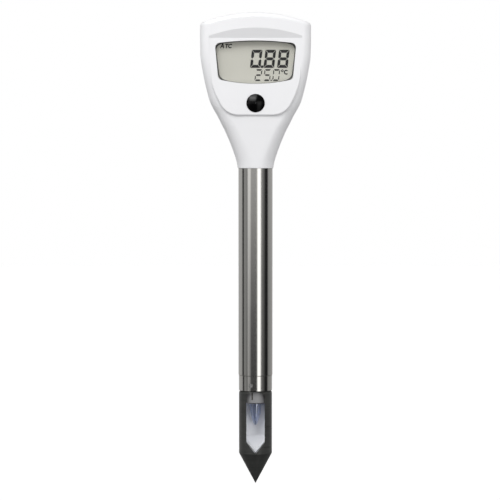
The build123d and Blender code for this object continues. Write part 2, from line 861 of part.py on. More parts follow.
# ---------------------------------------------------------------- tube
with BuildPart() as probe_tube:
    with BuildSketch(Plane.XZ):
        groove_radius = spigot_radius - groove_depth
        groove_high = groove_height + groove_width
        swage = -tube_wall
        with BuildLine():
            Polyline(
                (spigot_radius, spigot_length),
                (spigot_radius, groove_high),
                (groove_radius, groove_high),
                (groove_radius, groove_height),
                (spigot_radius, groove_height),
                (spigot_radius, 0),
                (tube_radius, 0),
                (tube_radius, seam_z + seam_chamfer),
                (tube_radius - seam_chamfer, seam_z),
                (tube_bore, seam_z),
                (tube_bore, swage),
                (spigot_radius - tube_wall, swage),
                (spigot_radius - tube_wall, groove_height - tube_wall),
                (groove_radius - tube_wall, groove_height - tube_wall),
                (groove_radius - tube_wall, groove_high + tube_wall),
                (spigot_radius - tube_wall, groove_high + tube_wall),
                (spigot_radius - tube_wall, spigot_length),
                close=True,
            )
        make_face()
    revolve(axis=Axis.Z)
finish(probe_tube.part, "probe_tube")

with BuildPart() as cable_grommet:
    with BuildSketch(Plane.XZ):
        plug_radius = spigot_radius - tube_wall - slip_fit
        plug_low = spigot_length - grommet_plug
        with BuildLine():
            Polyline(
                (cable_radius, spigot_length + grommet_flange),
                (spigot_radius, spigot_length + grommet_flange),
                (spigot_radius, spigot_length),
                (plug_radius, spigot_length),
                (plug_radius, plug_low),
                (cable_radius, plug_low),
                close=True,
            )
        make_face()
    revolve(axis=Axis.Z)
finish(cable_grommet.part, "cable_grommet")

with BuildPart() as end_ferrule:
    with BuildSketch(Plane.XZ):
        collar = tube_bore - slip_fit
        with BuildLine():
            Polyline(
                (collar, seam_z + ferrule_spigot),
                (collar, seam_z),
                (ferrule_radius - seam_chamfer, seam_z),
                (ferrule_radius, seam_z - seam_chamfer),
                (ferrule_radius, ferrule_end),
                (ferrule_bore, ferrule_end),
                (ferrule_bore, spigot_top + loose_gap),
                (stem_bore, spigot_top + loose_gap),
                (stem_bore, seam_z + ferrule_spigot),
                close=True,
            )
        make_face()
    revolve(axis=Axis.Z)
    with BuildSketch(pin_plane):
        Circle(pin_radius + slip_fit)
    extrude(amount=tube_radius + 1, mode=Mode.SUBTRACT)
finish(end_ferrule.part, "end_ferrule")

# ---------------------------------------------------------------- tip guard
cavity_slope = sample_window_point / (sample_window_width / 2)
cavity_cone_z = cavity_tip + guard_bore * cavity_slope
with BuildPart() as tip_guard:
    with BuildSketch(Plane.XZ):
        with BuildLine():
            Line((guard_bore, spigot_top), (guard_spigot_radius, spigot_top))
            Line((guard_spigot_radius, spigot_top), (guard_spigot_radius, guard_top))
            EllipticalCenterArc(
                (guard_spigot_radius, guard_top - guard_rounding),
                guard_radius - guard_spigot_radius,
                guard_rounding,
                start_angle=0,
                arc_size=90,
            )
            Line((guard_radius, guard_top - guard_rounding), (guard_radius, cone_z))
            Line((guard_radius, cone_z), (0, tip_z))
            Line((0, tip_z), (0, cavity_tip))
            Line((0, cavity_tip), (guard_bore, cavity_cone_z))
            Line((guard_bore, cavity_cone_z), (guard_bore, spigot_top))
        make_face()
    revolve(axis=Axis.Z)
    with BuildSketch(Plane.XZ):
        add(sample_window_sketch(0))
    extrude(amount=guard_radius + 1, mode=Mode.SUBTRACT)
    with BuildSketch(pin_plane):
        Circle(pin_radius + slip_fit)
    extrude(amount=guard_radius, mode=Mode.SUBTRACT)
finish(tip_guard.part, "tip_guard")

with BuildPart() as guard_pin:
    with BuildSketch(pin_plane.offset(guard_bore + loose_gap)):
        Circle(pin_radius)
    extrude(amount=tube_radius - guard_bore - 3 * loose_gap)
    chamfer(edges(), 0.12)
finish(guard_pin.part, "guard_pin")

liner_radius = guard_bore - slip_fit
liner_top = stem_low - 0.3 * stem_dome - loose_gap
liner_tip = cavity_tip + 2 * slip_fit
with BuildPart() as guard_liner:
    with BuildSketch(Plane.XZ):
        with BuildLine():
            inside = liner_radius - liner_wall
            inner_tip = liner_tip + liner_wall * hypot(1, cavity_slope)
            Polyline(
                (liner_radius, liner_top),
                (liner_radius, liner_tip + liner_radius * cavity_slope),
                (0, liner_tip),
                (0, inner_tip),
                (inside, inner_tip + inside * cavity_slope),
                (inside, liner_top),
                close=True,
            )
        make_face()
    revolve(axis=Axis.Z)
    with BuildSketch(Plane.XZ):
        add(sample_window_sketch(slip_fit))
    extrude(amount=guard_radius, mode=Mode.SUBTRACT)
finish(guard_liner.part, "guard_liner")

# ---------------------------------------------------------------- sensor
with BuildPart() as sensor_stem:
    with BuildSketch(Plane.XZ):
        shaft = stem_bore - slip_fit
        with BuildLine():
            TangentArc((0, stem_low - stem_dome), (stem_radius, stem_low), tangent=(1, 0))
            Line((stem_radius, stem_low), (stem_radius, spigot_top + loose_gap))
            Line((stem_radius, spigot_top + loose_gap), (shaft, spigot_top + loose_gap))
            Line((shaft, spigot_top + loose_gap), (shaft, stem_top))
            Line((shaft, stem_top), (0, stem_top))
            Line((0, stem_top), (0, stem_low - stem_dome))
        make_face()
        for height in stem_seals_at:
            with Locations((shaft, height)):
                groove_reach = 2 * (shaft - stem_seal_groove + thread_fit)
                Rectangle(groove_reach, 1.3 * stem_seal_section, mode=Mode.SUBTRACT)
    revolve(axis=Axis.Z)
    with BuildSketch(Plane.XY.offset(stem_low - stem_dome - 1)):
        Circle(bulb_radius + slip_fit)
    extrude(amount=stem_length + stem_dome + 2, mode=Mode.SUBTRACT)
    with BuildSketch(Plane.XY.offset(thermistor_low)):
        with Locations((0, thermistor_offset)):
            Circle(thermistor_radius + slip_fit)
    extrude(amount=stem_length, mode=Mode.SUBTRACT)
    with BuildSketch(Plane.XZ.offset(stem_radius - wick_depth)):
        with Locations((wick_x, wick_middle)):
            Rectangle(wick_width, wick_length)
    extrude(amount=1, mode=Mode.SUBTRACT)
finish(sensor_stem.part, "sensor_stem")

with BuildPart() as reference_wick:
    with BuildSketch(Plane.XZ.offset(stem_radius - wick_depth)):
        with Locations((wick_x, wick_middle)):
            Rectangle(wick_width, wick_length)
    extrude(amount=wick_depth - 2 * loose_gap)
finish(reference_wick.part, "reference_wick")

with BuildPart() as stem_seals:
    with BuildSketch(Plane.XZ):
        with Locations(*[(stem_seal_groove + stem_seal_section / 2, at) for at in stem_seals_at]):
            Circle(stem_seal_section / 2)
    revolve(axis=Axis.Z)
finish(stem_seals.part, "stem_seals")

with BuildPart() as glass_bulb:
    with BuildSketch(Plane.XZ):
        with BuildLine():
            bullet_outline(bulb_radius, bulb_shoulder, bulb_tip, bulb_tip_radius, bulb_top)
        make_face()
    revolve(axis=Axis.Z)
    with BuildSketch(Plane.XZ):
        with BuildLine():
            bullet_outline(*gel_shape, bulb_top)
        make_face()
    revolve(axis=Axis.Z, mode=Mode.SUBTRACT)
finish(glass_bulb.part, "glass_bulb")

with BuildPart() as electrode_gel:
    with BuildSketch(Plane.XZ):
        with BuildLine():
            bullet_outline(*gel_shape, gel_top)
        make_face()
    revolve(axis=Axis.Z)
    with BuildSketch(Plane.XY.offset(wire_low)):
        Circle(wire_radius)
    extrude(amount=stem_length, mode=Mode.SUBTRACT)
finish(electrode_gel.part, "electrode_gel")

with BuildPart() as electrode_wire:
    with BuildSketch(Plane.XY.offset(wire_low)):
        Circle(wire_radius)
    extrude(amount=stem_top - wire_low)
finish(electrode_wire.part, "electrode_wire")

with BuildPart() as thermistor:
    with BuildSketch(Plane.XY.offset(thermistor_low)):
        with Locations((0, thermistor_offset)):
            Circle(thermistor_radius)
    extrude(amount=thermistor_length)
    fillet(edges(), 0.3)
    with BuildSketch(Plane.XY.offset(thermistor_low + thermistor_length)):
        with Locations((-0.4, thermistor_offset), (0.4, thermistor_offset)):
            Circle(0.15)
    extrude(amount=stem_top - thermistor_low - thermistor_length)
finish(thermistor.part, "thermistor")

with BuildPart() as potting:
    with BuildSketch(Plane.XY.offset(stem_top)):
        Circle(tube_bore - slip_fit)
        Circle(cable_radius, mode=Mode.SUBTRACT)
    extrude(amount=potting_length)
finish(potting.part, "potting")

# ---------------------------------------------------------------- sensor cable, held all the way
cable_y = board_rear + cable_radius + loose_gap
cable_rise = board_bottom - 1.6 - (cavity_floor - 0.5)
cable_run = connector_low - (board_bottom - 1.6)
cable_bend = 0.45 * cable_run / tan(atan2(cable_y, cable_rise) / 2)
with BuildPart() as sensor_cable:
    with BuildLine() as route:
        FilletPolyline(
            (0, 0, stem_top),
            (0, 0, cavity_floor - 0.5),
            (0, cable_y, board_bottom - 1.6),
            (0, cable_y, connector_low),
            radius=[cable_bend, cable_bend],
        )
    with BuildSketch(Plane.XY.offset(stem_top)):
        Circle(cable_radius)
    sweep()
finish(sensor_cable.part, "sensor_cable")

with BuildPart() as cable_connector:
    with BuildSketch(facing(board_rear + connector_depth)):
        with Locations((0, connector_low)):
            Rectangle(connector_width, connector_height, align=(Align.CENTER, Align.MIN))
    extrude(amount=connector_depth)
    chamfer(edges().filter_by(Axis.Z), 0.4)
finish(cable_connector.part, "cable_connector")
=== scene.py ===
import math

import bmesh
import bpy
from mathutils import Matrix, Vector


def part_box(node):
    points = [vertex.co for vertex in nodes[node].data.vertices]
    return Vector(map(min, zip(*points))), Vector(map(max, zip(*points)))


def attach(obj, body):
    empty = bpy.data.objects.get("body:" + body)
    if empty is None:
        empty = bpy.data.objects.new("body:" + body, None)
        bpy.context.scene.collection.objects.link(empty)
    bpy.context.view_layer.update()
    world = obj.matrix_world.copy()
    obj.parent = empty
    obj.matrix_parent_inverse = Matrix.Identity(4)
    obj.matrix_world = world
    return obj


# A water quality probe: white meter head, polished steel tube, turned black tip guard.
# Metres. Everything is placed from the frame's own boxes.

MM = 0.001

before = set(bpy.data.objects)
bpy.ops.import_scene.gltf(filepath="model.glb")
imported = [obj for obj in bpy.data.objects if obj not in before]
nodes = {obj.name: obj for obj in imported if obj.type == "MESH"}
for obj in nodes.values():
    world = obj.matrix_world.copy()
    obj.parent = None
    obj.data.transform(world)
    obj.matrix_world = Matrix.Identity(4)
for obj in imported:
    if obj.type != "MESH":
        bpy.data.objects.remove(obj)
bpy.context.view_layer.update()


# ---------------------------------------------------------------- painting
class Number:
    """A number on its way through a material. Arithmetic on it adds Math nodes."""

    def __init__(self, paint, socket):
        self.paint = paint
        self.socket = socket

    def worked(self, operation, *others):
        sockets = {place: value for place, value in enumerate((self, *others))}
        made = self.paint.node("ShaderNodeMath", sockets, operation=operation)
        return Number(self.paint, made.outputs[0])

    def __add__(self, other):
        return self.worked("ADD", other)

    __radd__ = __add__

    def __mul__(self, other):
        return self.worked("MULTIPLY", other)

    __rmul__ = __mul__

    def __sub__(self, other):
        return self.worked("SUBTRACT", other)

    def __rsub__(self, first):
        made = self.paint.node("ShaderNodeMath", {0: first, 1: self}, operation="SUBTRACT")
        return Number(self.paint, made.outputs[0])

    def __truediv__(self, other):
        return self.worked("DIVIDE", other)

    def __pow__(self, other):
        return self.worked("POWER", other)


class Paint:
    """A tree of shader nodes in the making."""

    def __init__(self, tree):
        self.tree = tree
        tree.nodes.clear()

    def node(self, kind, sockets=(), stops=(), **settings):
        """Add a node: its settings first, then its sockets by name or place, as values or links."""
        made = self.tree.nodes.new(kind)
        for name, value in settings.items():
            setattr(made, name, value)
        if stops:
            ramp = made.color_ramp.elements
            while len(ramp) < len(stops):
                ramp.new(1)
            for element, (place, colour) in zip(ramp, stops):
                element.position = place
                element.color = (*colour, 1) if isinstance(colour, tuple) else (colour, colour, colour, 1)
        for name, value in dict(sockets).items():
            socket = made.inputs[name]
            if isinstance(value, Number):
                self.tree.links.new(value.socket, socket)
            elif isinstance(value, bpy.types.NodeSocket):
                self.tree.links.new(value, socket)
            elif isinstance(value, tuple) and len(value) == 3 and socket.type == "RGBA":
                socket.default_value = (*value, 1)
            else:
                socket.default_value = value
        return made

    def number(self, kind, output, sockets=(), **settings):
        return Number(self, self.node(kind, sockets, **settings).outputs[output])

    def place(self):
        """Where a point is on its piece, in metres."""
        return self.node("ShaderNodeTexCoord").outputs["Object"]

    def stretched(self, vector, scale):
        """The place, scaled along each axis."""
        made = self.node("ShaderNodeVectorMath", {0: vector, 1: scale}, operation="MULTIPLY")
        return made.outputs[0]

    def noise(self, vector, scale, detail=3.0, roughness=0.55):
        sockets = {"Vector": vector, "Scale": scale, "Detail": detail, "Roughness": roughness}
        return self.number("ShaderNodeTexNoise", 0, sockets)

    def between(self, factor, first, second):
        """A colour between two."""
        sockets = {0: factor, 6: first, 7: second}
        return self.node("ShaderNodeMix", sockets, data_type="RGBA").outputs[2]

    def ramp(self, factor, stops):
        return self.node("ShaderNodeValToRGB", {0: factor}, stops=stops).outputs[0]

    def relief(self, height, depth):
        """A Bump node's normal, for this height map of this depth in metres."""
        sockets = {"Height": height, "Distance": depth, "Strength": 1.0}
        return self.node("ShaderNodeBump", sockets).outputs[0]

    def show(self, shader):
        self.node("ShaderNodeOutputMaterial", {"Surface": shader.outputs[0]})


def new_finish(name):
    material = bpy.data.materials.new(name)
    material.use_nodes = True
    return material, Paint(material.node_tree)


def moulded(name, colour, roughness, grain=0.35 * MM, depth=0.006 * MM, mottle=0.03, **fixed):
    """A moulded or cast surface: fine grain, faint clouding of its colour and gloss."""
    material, paint = new_finish(name)
    place = paint.place()
    cloud = paint.noise(place, 1 / (9 * MM))
    fine = paint.noise(place, 1 / grain, 2)
    dark = tuple(channel * (1 - mottle) for channel in colour)
    light = tuple(min(channel * (1 + mottle), 1) for channel in colour)
    sockets = {
        "Base Color": paint.between(cloud, dark, light),
        "Roughness": roughness * 0.88 + roughness * 0.24 * cloud,
        "Normal": paint.relief(fine, depth),
    }
    sockets.update(fixed)
    paint.show(paint.node("ShaderNodeBsdfPrincipled", sockets))
    return material


def drawn_metal(name, colour, roughness, along, pitch=0.25 * MM, depth=0.0012 * MM):
    """Metal with fine marks drawn along one axis."""
    material, paint = new_finish(name)
    run = tuple(0.012 if axis == along else 1.0 for axis in range(3))
    place = paint.place()
    marks = paint.noise(paint.stretched(place, run), 1 / pitch, 4, 0.65)
    smear = paint.noise(place, 1 / (14 * MM), 3)
    dark = tuple(channel * 0.93 for channel in colour)
    light = tuple(min(channel * 1.05, 1) for channel in colour)
    sockets = {
        "Base Color": paint.between(marks * 0.6 + smear * 0.4, dark, light),
        "Metallic": 1.0,
        "Roughness": roughness * 0.75 + roughness * 0.35 * smear + roughness * 0.25 * marks,
        "Normal": paint.relief(marks, depth),
    }
    paint.show(paint.node("ShaderNodeBsdfPrincipled", sockets))
    return material


def turned_plastic(name, colour, roughness, pitch, depth):
    """Plastic turned on a lathe: fine rings round the probe's axis, uneven in depth and sheen."""
    material, paint = new_finish(name)
    place = paint.place()
    rings = paint.noise(paint.stretched(place, (0.04, 0.04, 1.0)), 1 / pitch, 4, 0.75)
    patches = paint.noise(place, 1 / (4 * MM), 3)
    dark = tuple(channel * 0.35 for channel in colour)
    light = tuple(channel * 1.9 for channel in colour)
    sockets = {
        "Base Color": paint.between(rings * 0.7 + patches * 0.3, dark, light),
        "Roughness": roughness * 0.7 + roughness * 0.6 * rings,
        "Normal": paint.relief(rings, depth),
        "Specular IOR Level": 0.3,
    }
    paint.show(paint.node("ShaderNodeBsdfPrincipled", sockets))
    return material


def clear(name, tint, body, least, edge, roughness=0.03, metallic=0.0):
    """Clear glass or acrylic: see-through face on, and shinier towards its edges."""
    material, paint = new_finish(name)
    place = paint.place()
    smudge = paint.noise(place, 1 / (6 * MM), 3)
    facing = paint.number("ShaderNodeLayerWeight", "Facing", {"Blend": 0.35})
    shine = paint.node(
        "ShaderNodeBsdfPrincipled",
        {
            "Base Color": paint.between(smudge, body, tuple(channel * 0.9 for channel in body)),
            "Roughness": roughness + 0.03 * smudge,
            "Normal": paint.relief(smudge, 0.002 * MM),
            "Metallic": metallic,
        },
    )
    through = paint.node("ShaderNodeBsdfTransparent", {"Color": tint})
    share = least + (edge - least) * facing**2.0 + 0.01 * smudge
    sockets = {0: share, 1: through.outputs[0], 2: shine.outputs[0]}
    paint.show(paint.node("ShaderNodeMixShader", sockets))
    return material


def laminate(name):
    """Circuit board: green mask over copper tracks."""
    material, paint = new_finish(name)
    place = paint.place()
    tracks = paint.number(
        "ShaderNodeTexBrick",
        "Fac",
        {
            "Vector": paint.node("ShaderNodeVectorRotate", {0: place, "Angle": math.radians(90)},
                                 rotation_type="X_AXIS").outputs[0],
            "Scale": 1 / (6 * MM),
            "Mortar Size": 0.03,
        },
    )
    cloud = paint.noise(place, 1 / (3 * MM))
    mask = paint.between(cloud, (0.012, 0.10, 0.04), (0.02, 0.15, 0.06))
    sockets = {
        "Base Color": paint.between(tracks, mask, (0.03, 0.22, 0.08)),
        "Roughness": 0.3 + 0.12 * cloud,
        "Normal": paint.relief(tracks, 0.03 * MM),
    }
    paint.show(paint.node("ShaderNodeBsdfPrincipled", sockets))
    return material


shell_white = moulded(
    "shell_white", (0.86, 0.86, 0.875), 0.3, grain=0.5 * MM, depth=0.0015 * MM, mottle=0.008
)
button_black = moulded(
    "button_black",
    (0.002, 0.002, 0.0022),
    0.16,
    grain=3 * MM,
    depth=0.002 * MM,
    **{"Specular IOR Level": 0.16},
)
polished_steel = drawn_metal("polished_steel", (0.66, 0.65, 0.62), 0.13, along=2)
bright_steel = drawn_metal("bright_steel", (0.62, 0.62, 0.61), 0.22, along=0)
plated = drawn_metal("plated", (0.75, 0.62, 0.36), 0.28, along=0)
silver_wire = drawn_metal("silver_wire", (0.8, 0.8, 0.8), 0.25, along=2)
guard_plastic = turned_plastic("guard_plastic", (0.038, 0.039, 0.037), 0.3, pitch=0.8 * MM, depth=0.08 * MM)
stem_plastic = moulded("stem_plastic", (0.26, 0.26, 0.265), 0.38, grain=0.6 * MM, depth=0.01 * MM)
liner_plastic = moulded("liner_plastic", (0.93, 0.94, 0.97), 0.3, grain=0.8 * MM, depth=0.01 * MM)
frame_plastic = moulded("frame_plastic", (0.7, 0.7, 0.71), 0.45)
chip_plastic = moulded("chip_plastic", (0.02, 0.02, 0.021), 0.5)
rubber = moulded("rubber", (0.018, 0.018, 0.018), 0.6, depth=0.01 * MM)
contact_rubber = moulded("contact_rubber", (0.6, 0.3, 0.34), 0.6)
foam = moulded("foam", (0.09, 0.09, 0.1), 0.9, grain=0.5 * MM, depth=0.08 * MM, mottle=0.2)
epoxy = moulded("epoxy", (0.03, 0.03, 0.035), 0.2, grain=2 * MM)
jacket = moulded("jacket", (0.16, 0.16, 0.165), 0.5)
wick = moulded("wick", (0.05, 0.045, 0.04), 0.9, grain=0.2 * MM, depth=0.05 * MM, mottle=0.3)
gel = moulded("gel", (0.58, 0.66, 0.86), 0.2, grain=2 * MM, depth=0.002 * MM, mottle=0.03)
reflector = moulded("reflector", (0.62, 0.62, 0.55), 0.6, grain=0.12 * MM, depth=0.004 * MM, mottle=0.02)
cell_face = moulded("cell_face", (0.625, 0.617, 0.55), 0.35, grain=0.15 * MM, depth=0.002 * MM, mottle=0.015)
segment_ink = moulded("segment_ink", (0.004, 0.004, 0.004), 0.7, grain=0.2 * MM, depth=0.001 * MM)
# Dark grey ring behind the display window's edge: painted shade where the recessed window's rim shadows the
# display
painted_shade_ink = moulded("painted_shade_ink", (0.11, 0.11, 0.105), 0.5, grain=0.3 * MM, depth=0.001 * MM)
lens_acrylic = clear("lens_acrylic", (0.985, 0.985, 0.985), (0.5, 0.5, 0.5), 0.008, 0.5)
sensor_glass = clear(
    "sensor_glass", (0.86, 0.9, 1.0), (0.84, 0.89, 1.0), 0.4, 0.9, roughness=0.05, metallic=0.7
)
board_green = laminate("board_green")

FINISHES = {
    "front_shell": shell_white,
    "rear_shell": shell_white,
    "battery_cover": shell_white,
    "power_button": button_black,
    "probe_tube": polished_steel,
    "end_ferrule": polished_steel,
    "case_screws": bright_steel,
    "board_screws": bright_steel,
    "guard_pin": bright_steel,
    "coin_cell": bright_steel,
    "positive_contact": plated,
    "negative_contact": plated,
    "electrode_wire": silver_wire,
    "tip_guard": guard_plastic,
    "sensor_stem": stem_plastic,
    "guard_liner": liner_plastic,
    "display_frame": frame_plastic,
    "battery_holder": frame_plastic,
    "cable_connector": frame_plastic,
    "microcontroller": chip_plastic,
    "board_parts": chip_plastic,
    "switch_body": chip_plastic,
    "switch_plunger": chip_plastic,
    "case_seal": rubber,
    "button_seal": rubber,
    "cover_seal": rubber,
    "stem_seals": rubber,
    "cable_grommet": rubber,
    "contact_strips": contact_rubber,
    "display_pad": foam,
    "thermistor": epoxy,
    "potting": epoxy,
    "sensor_cable": jacket,
    "reference_wick": wick,
    "electrode_gel": gel,
    "lcd_reflector": reflector,
    "display_lens": lens_acrylic,
    "lcd_front_glass": cell_face,
    "lcd_rear_glass": cell_face,
    "glass_bulb": sensor_glass,
    "circuit_board": board_green,
}
for name, piece in nodes.items():
    piece.data.materials.clear()
    piece.data.materials.append(FINISHES[name])


# ---------------------------------------------------------------- display
def raised(name, outlines, front, thickness, finish):
    """A piece made of flat shapes facing the front, each outline a ring of (x, z) in metres."""
    mesh = bpy.data.meshes.new(name)
    shapes = bmesh.new()
    for outline in outlines:
        near = [shapes.verts.new((x, front, z)) for x, z in outline]
        far = [shapes.verts.new((x, front + thickness, z)) for x, z in outline]
        count = len(outline)
        shapes.faces.new(near)
        shapes.faces.new(far[::-1])
        for at in range(count):
            onward = (at + 1) % count
            shapes.faces.new((near[onward], near[at], far[at], far[onward]))
    bmesh.ops.recalc_face_normals(shapes, faces=shapes.faces)
    shapes.to_mesh(mesh)
    shapes.free()
    piece = bpy.data.objects.new(name, mesh)
    bpy.context.scene.collection.objects.link(piece)
    mesh.materials.append(finish)
    return piece


def digit_outlines(lit, width, height, stroke, gap):
    """The lit bars of a seven-bar digit, upright, from its lower left corner."""
    middle = height / 2
    slim = stroke / 2
    bars = {
        "top": [
            (gap, height),
            (width - gap, height),
            (width - stroke, height - stroke),
            (stroke, height - stroke),
        ],
        "bottom": [(gap, 0), (width - gap, 0), (width - stroke, stroke), (stroke, stroke)],
        "middle": [
            (slim, middle),
            (stroke, middle + slim),
            (width - stroke, middle + slim),
            (width - slim, middle),
            (width - stroke, middle - slim),
            (stroke, middle - slim),
        ],
        "upper left": [
            (0, height - gap),
            (stroke - gap, height - stroke - gap),
            (stroke - gap, middle + slim + gap),
            (slim - gap, middle + gap),
            (0, middle + slim),
        ],
    }
    bars["lower left"] = [(x, height - z) for x, z in bars["upper left"]]
    bars["upper right"] = [(width - x, z) for x, z in bars["upper left"]]
    bars["lower right"] = [(width - x, height - z) for x, z in bars["upper left"]]
    return [bars[bar] for bar in lit]


BARS_OF = {
    "0": ("top", "bottom", "upper left", "upper right", "lower left", "lower right"),
    "2": ("top", "bottom", "middle", "upper right", "lower left"),
    "5": ("top", "bottom", "middle", "upper left", "lower right"),
    "8": ("top", "bottom", "middle", "upper left", "upper right", "lower left", "lower right"),
}


def leaning(outlines, x, z, lean):
    """The outlines moved to a place, leaning to the right."""
    return [[(x + px + pz * lean, z + pz) for px, pz in outline] for outline in outlines]


def reading(text, left, low, width, height, stroke, gap, pitch, lean):
    """A number on the display; a point takes its place between two digits."""
    outlines = []
    at = left
    for sign in text:
        if sign == ".":
            dot = 0.8 * stroke
            foot = [(0, 0), (dot, 0), (dot, dot), (0, dot)]
            outlines += leaning([foot], at - pitch + width + (pitch - width - dot) / 2, low, lean)
        else:
            bars = digit_outlines(BARS_OF[sign], width, height, stroke, gap)
            outlines += leaning(bars, at, low, lean)
            at += pitch
    return outlines


def stroke_outline(path, width):
    """A line of even width along a path of (x, z) points, as one ring with mitred corners."""
    left, right = [], []
    for at, (x, z) in enumerate(path):
        before = path[max(at - 1, 0)]
        after = path[min(at + 1, len(path) - 1)]
        first = Vector((x - before[0], z - before[1]))
        second = Vector((after[0] - x, after[1] - z))
        first = first.normalized() if first.length else second.normalized()
        second = second.normalized() if second.length else first
        across = Vector((-first.y - second.y, first.x + second.x)).normalized()
        reach = width / 2 / max(across.dot(Vector((-first.y, first.x))), 0.35)
        left.append((x + across.x * reach, z + across.y * reach))
        right.append((x - across.x * reach, z - across.y * reach))
    return left + right[::-1]


def bow(centre, radius, start, end, steps=12):
    """Points round an arc, in degrees from +x."""
    turns = [math.radians(start + (end - start) * step / steps) for step in range(steps + 1)]
    return [(centre[0] + radius * math.cos(turn), centre[1] + radius * math.sin(turn)) for turn in turns]


def window_outline(low, high, grow):
    """The display window's outline as a ring of (x, z): tapered, bowed above and below, rounded."""
    top = [(high.x + grow) * turn / 12 for turn in range(-9, 10)]
    upper = [(x, high.z + grow - WINDOW_CROWN * (x / high.x) ** 2) for x in top]
    foot_half = high.x - WINDOW_TAPER + grow
    foot = [foot_half * turn / 12 for turn in range(9, -10, -1)]
    lower = [(x, low.z - grow + WINDOW_SAG * (x / foot_half) ** 2) for x in foot]
    upper_side = (high.x + grow - 0.1 * MM, high.z - WINDOW_CROWN - 3.0 * MM)
    lower_side = (foot_half + 0.15 * MM, low.z + WINDOW_SAG + 3.0 * MM)
    upper_corner = (high.x + grow, high.z - WINDOW_CROWN + grow)
    lower_corner = (foot_half, low.z + WINDOW_SAG - grow)
    right = rounded(upper[-1], upper_corner, upper_side) + rounded(lower_side, lower_corner, lower[0])
    left = rounded(lower[-1], (-lower_corner[0], lower_corner[1]), (-lower_side[0], lower_side[1]))
    left += rounded((-upper_side[0], upper_side[1]), (-upper_corner[0], upper_corner[1]), upper[0])
    return upper[1:-1] + right + lower[1:-1] + left


def rounded(start, corner, end, steps=8):
    """Points that round a corner."""
    points = []
    for step in range(steps + 1):
        along = step / steps
        weights = ((1 - along) ** 2, 2 * along * (1 - along), along**2)
        pulls = list(zip(weights, (start, corner, end)))
        points.append(tuple(sum(weight * point[axis] for weight, point in pulls) for axis in (0, 1)))
    return points


def flat_ring(name, outer, inner, front, thickness, finish):
    """A flat ring facing the front, between two outlines with as many points."""
    mesh = bpy.data.meshes.new(name)
    shape = bmesh.new()
    rows = []
    for outline, depth in ((outer, 0), (inner, 0), (inner, thickness), (outer, thickness)):
        rows.append([shape.verts.new((x, front + depth, z)) for x, z in outline])
    for row, beside in zip(rows, rows[1:] + rows[:1]):
        for at in range(len(outer)):
            onward = (at + 1) % len(outer)
            shape.faces.new((row[at], row[onward], beside[onward], beside[at]))
    bmesh.ops.recalc_face_normals(shape, faces=shape.faces)
    shape.to_mesh(mesh)
    shape.free()
    piece = bpy.data.objects.new(name, mesh)
    bpy.context.scene.collection.objects.link(piece)
    mesh.materials.append(finish)
    return piece


WINDOW_CROWN = 1.3 * MM
WINDOW_SAG = 2.0 * MM
WINDOW_TAPER = 1.5 * MM
LENS_FLANGE = 1.0 * MM
lens_low, lens_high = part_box("display_lens")
glass_low, glass_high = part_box("lcd_front_glass")
ink_depth = 0.06 * MM
ink_front = glass_low.y - ink_depth
middle_z = (lens_low.z + lens_high.z) / 2

LEAN = math.tan(math.radians(6.5))
big_low = middle_z - 2.45 * MM
main = reading("0.88", -2.55 * MM, big_low, 4.8 * MM, 8.1 * MM, 1.35 * MM, 0.12 * MM, 6.1 * MM, LEAN)
small_low = middle_z - 8.35 * MM
lesser = reading("25.0", -0.5 * MM, small_low, 3.0 * MM, 5.3 * MM, 0.7 * MM, 0.26 * MM, 4.0 * MM, LEAN)

degree_x = 12.1 * MM
degree_z = small_low + 4.6 * MM
ring_middle = 0.42 * MM
ring_width = 0.34 * MM
degree = stroke_outline(bow((degree_x, degree_z), ring_middle, 0, 350, 20), ring_width)
celsius = stroke_outline(bow((degree_x + 1.75 * MM, small_low + 3.95 * MM), 0.85 * MM, 48, 312), 0.5 * MM)

MARK_HEIGHT = 2.0 * MM
mark_low = middle_z + 6.35 * MM
mark_stroke = 0.42 * MM
legs = stroke_outline([(0, 0), (0.75 * MM, MARK_HEIGHT), (1.5 * MM, 0)], mark_stroke)
bar = [(0.36 * MM, 0.5 * MM), (1.14 * MM, 0.5 * MM), (1.0 * MM, 0.85 * MM), (0.5 * MM, 0.85 * MM)]
post = stroke_outline([(0, 0), (0, MARK_HEIGHT - mark_stroke)], mark_stroke)
beam_z = MARK_HEIGHT - mark_stroke / 2
beam = stroke_outline([(-0.75 * MM, beam_z), (0.75 * MM, beam_z)], mark_stroke)
hook = stroke_outline(bow((0, MARK_HEIGHT / 2), 0.8 * MM, 45, 315), mark_stroke)
MARK_LEAN = 0.18
marks = leaning([legs, bar], -15.85 * MM, mark_low, MARK_LEAN)
marks += leaning([post, beam], -13.2 * MM, mark_low, MARK_LEAN)
marks += leaning([hook], -11.5 * MM, mark_low, MARK_LEAN)
marks += [degree, celsius]

window_low = Vector((lens_low.x + LENS_FLANGE, 0, lens_low.z + LENS_FLANGE))
window_high = Vector((lens_high.x - LENS_FLANGE, 0, lens_high.z - LENS_FLANGE))
# A thin dark ring just inside the window's edge: painted shade that stands in for the shadow of the recessed
# rim
border_outer = window_outline(window_low, window_high, 0.35 * MM)
border_inner = window_outline(window_low, window_high, -0.25 * MM)
border_front = glass_low.y - 0.14 * MM
border = flat_ring("display_painted_shade", border_outer, border_inner, border_front, 0.06 * MM, painted_shade_ink)
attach(border, "root")

for name, outlines in (("main_digits", main), ("temperature_digits", lesser), ("display_marks", marks)):
    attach(raised(name, outlines, ink_front, ink_depth, segment_ink), "root")


# ---------------------------------------------------------------- stage
def softbox(name, place, target, width, height, power, mirrored=True):
    """A soft studio lamp turned to a point; it isn't seen by the camera."""
    lamp = bpy.data.lights.new(name, "AREA")
    lamp.shape = "RECTANGLE"
    lamp.size = width
    lamp.size_y = height
    lamp.energy = power
    holder = bpy.data.objects.new(name, lamp)
    bpy.context.scene.collection.objects.link(holder)
    holder.location = place
    holder.rotation_mode = "QUATERNION"
    holder.rotation_quaternion = (Vector(target) - Vector(place)).to_track_quat("-Z", "Y")
    holder.visible_camera = False
    holder.visible_glossy = mirrored
    return holder


